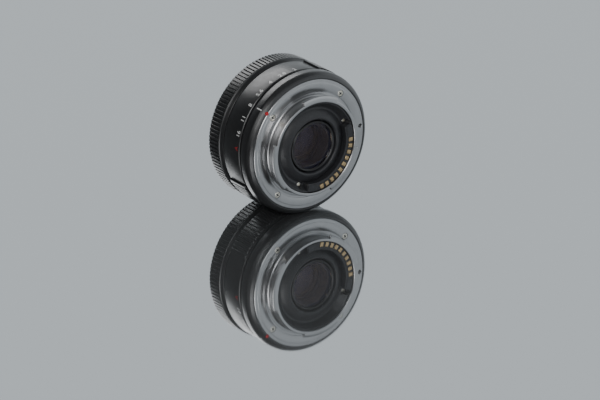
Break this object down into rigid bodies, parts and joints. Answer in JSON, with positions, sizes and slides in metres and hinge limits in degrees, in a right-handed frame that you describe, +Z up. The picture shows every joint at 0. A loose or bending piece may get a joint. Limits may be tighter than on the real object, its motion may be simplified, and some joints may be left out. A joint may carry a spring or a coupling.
{
  "type": "camera lens",
  "caption": "Wide prime lens for a mirrorless camera: bayonet mount with contacts, ribbed aperture ring, knurled focus ring, moving optical block and iris.",
  "frame": {"origin": "centre of the bayonet flange's seating face, on the optical axis", "axes": "+Y along the optical axis towards the subject, so the bayonet faces -Y; +Z up with the lens lying on its rim; the index mark is 139 degrees from +X towards +Z"},
  "size_m": [0.0641, 0.039, 0.0642],
  "materials": {
    "satin_black": "satin black anodised aluminium",
    "mount_chrome": "turned and chromed brass, concentric turning marks",
    "black_plastic": "moulded black polycarbonate",
    "core_plastic": "glass-filled black polycarbonate",
    "gold": "gold plated contact",
    "steel": "ground steel",
    "screw_steel": "bright cross-head screw with a dark recess",
    "glass": "multi-coated optical glass",
    "board": "green solder mask",
    "chip": "epoxy package",
    "flex": "amber polyimide",
    "red_enamel": "red enamel",
    "motor_can": "drawn steel can",
    "blade_steel": "blackened spring steel",
    "slip_film": "slip film",
    "brass_nut": "turned brass",
    "code_film": "striped film",
    "cell_black": "black anodised aluminium cell"
  },
  "bodies": {
    "barrel": {"bayonet_mount": "mount_chrome", "flange_screws": "screw_steel", "rear_barrel": "satin_black", "index_bead": "red_enamel", "stop_pin": "steel", "click_ball": "steel", "click_spring": "steel", "ring_shims": "slip_film", "main_barrel": "core_plastic", "front_plate": "core_plastic", "filter_ring": "satin_black", "front_ring_screws": "screw_steel", "name_ring": "black_plastic", "rear_baffle": "black_plastic", "baffle_screws": "screw_steel", "contact_block": "black_plastic", "contact_pins": "gold", "contact_flex": "flex", "main_board": "board", "inner_screws": "screw_steel", "board_chips": "chip", "ring_sensor": "black_plastic", "aperture_brush": "black_plastic", "home_sensor": "black_plastic", "guide_rods": "steel", "focus_motor": "motor_can", "motor_bracket": "motor_can"},
    "aperture_ring": {"aperture_ring": "satin_black", "aperture_code_strip": "code_film"},
    "focus_ring": {"focus_ring": "satin_black", "focus_encoder_strip": "code_film"},
    "lead_screw": {"lead_screw": "steel"},
    "optical_block": {"focus_carriage": "core_plastic", "focus_nut": "brass_nut", "iris_base": "core_plastic", "iris_cover": "core_plastic", "iris_motor": "motor_can", "rear_cell": "cell_black", "rear_retaining_ring": "cell_black", "seventh_spacer": "cell_black", "front_cell": "cell_black", "front_retaining_ring": "cell_black", "third_spacer": "cell_black", "front_element": "glass", "second_element": "glass", "third_element": "glass", "fourth_element": "glass", "fifth_element": "glass", "sixth_element": "glass", "seventh_element": "glass", "rear_element": "glass"},
    "iris_drive": {"iris_drive_ring": "core_plastic"},
    "iris_pinion": {"iris_pinion": "steel"},
    "blade_1": {"iris_blade_1": "blade_steel"},
    "blade_2": {"iris_blade_2": "blade_steel"},
    "blade_3": {"iris_blade_3": "blade_steel"},
    "blade_4": {"iris_blade_4": "blade_steel"},
    "blade_5": {"iris_blade_5": "blade_steel"},
    "blade_6": {"iris_blade_6": "blade_steel"},
    "blade_7": {"iris_blade_7": "blade_steel"}
  },
  "joints": [
    {"name": "aperture_turn", "type": "hinge", "parent": "barrel", "child": "aperture_ring", "pos_m": [0, 0.01385, 0], "axis": [0, 1, 0], "range_deg": [-48.6, 36.6]},
    {"name": "focus_turn", "type": "hinge", "parent": "barrel", "child": "focus_ring", "pos_m": [0, 0.0248, 0], "axis": [0, 1, 0], "continuous": true},
    {"name": "focus_slide", "type": "slide", "parent": "barrel", "child": "optical_block", "axis": [0, 1, 0], "range_m": [0, 0.0025]},
    {"name": "lead_screw_spin", "type": "hinge", "parent": "barrel", "child": "lead_screw", "pos_m": [-0.01096, 0.018, 0.01977], "axis": [0, 1, 0], "range_deg": [-1801, 1]},
    {"name": "iris_turn", "type": "hinge", "parent": "optical_block", "child": "iris_drive", "pos_m": [0, 0.01565, 0], "axis": [0, 1, 0], "range_deg": [0, 16]},
    {"name": "iris_pinion_spin", "type": "hinge", "parent": "optical_block", "child": "iris_pinion", "pos_m": [-0.01692, 0.01565, 0.00178], "axis": [0, 1, 0], "range_deg": [-185.5, 0.5]},
    {"name": "blade_1_swing", "type": "hinge", "parent": "optical_block", "child": "blade_1", "pos_m": [-0.00694, 0.0146, 0.00604], "axis": [0, 1, 0], "range_deg": [-0.2, 29.2]},
    {"name": "blade_2_swing", "type": "hinge", "parent": "optical_block", "child": "blade_2", "pos_m": [0.00039, 0.0146, 0.00919], "axis": [0, 1, 0], "range_deg": [-0.2, 29.2]},
    {"name": "blade_3_swing", "type": "hinge", "parent": "optical_block", "child": "blade_3", "pos_m": [0.00743, 0.0146, 0.00543], "axis": [0, 1, 0], "range_deg": [-0.2, 29.2]},
    {"name": "blade_4_swing", "type": "hinge", "parent": "optical_block", "child": "blade_4", "pos_m": [0.00887, 0.0146, -0.00243], "axis": [0, 1, 0], "range_deg": [-0.2, 29.2]},
    {"name": "blade_5_swing", "type": "hinge", "parent": "optical_block", "child": "blade_5", "pos_m": [0.00364, 0.0146, -0.00845], "axis": [0, 1, 0], "range_deg": [-0.2, 29.2]},
    {"name": "blade_6_swing", "type": "hinge", "parent": "optical_block", "child": "blade_6", "pos_m": [-0.00434, 0.0146, -0.00811], "axis": [0, 1, 0], "range_deg": [-0.2, 29.2]},
    {"name": "blade_7_swing", "type": "hinge", "parent": "optical_block", "child": "blade_7", "pos_m": [-0.00905, 0.0146, -0.00167], "axis": [0, 1, 0], "range_deg": [-0.2, 29.2]}
  ],
  "couplings": [
    {"joint": "lead_screw_spin", "follows": "focus_slide", "rad_per_m": -12566},
    {"joint": "iris_pinion_spin", "follows": "iris_turn", "ratio": -11.556},
    {"joint": "blade_1_swing", "follows": "iris_turn", "ratio": 1.8062},
    {"joint": "blade_2_swing", "follows": "iris_turn", "ratio": 1.8062},
    {"joint": "blade_3_swing", "follows": "iris_turn", "ratio": 1.8062},
    {"joint": "blade_4_swing", "follows": "iris_turn", "ratio": 1.8062},
    {"joint": "blade_5_swing", "follows": "iris_turn", "ratio": 1.8062},
    {"joint": "blade_6_swing", "follows": "iris_turn", "ratio": 1.8062},
    {"joint": "blade_7_swing", "follows": "iris_turn", "ratio": 1.8062}
  ]
}
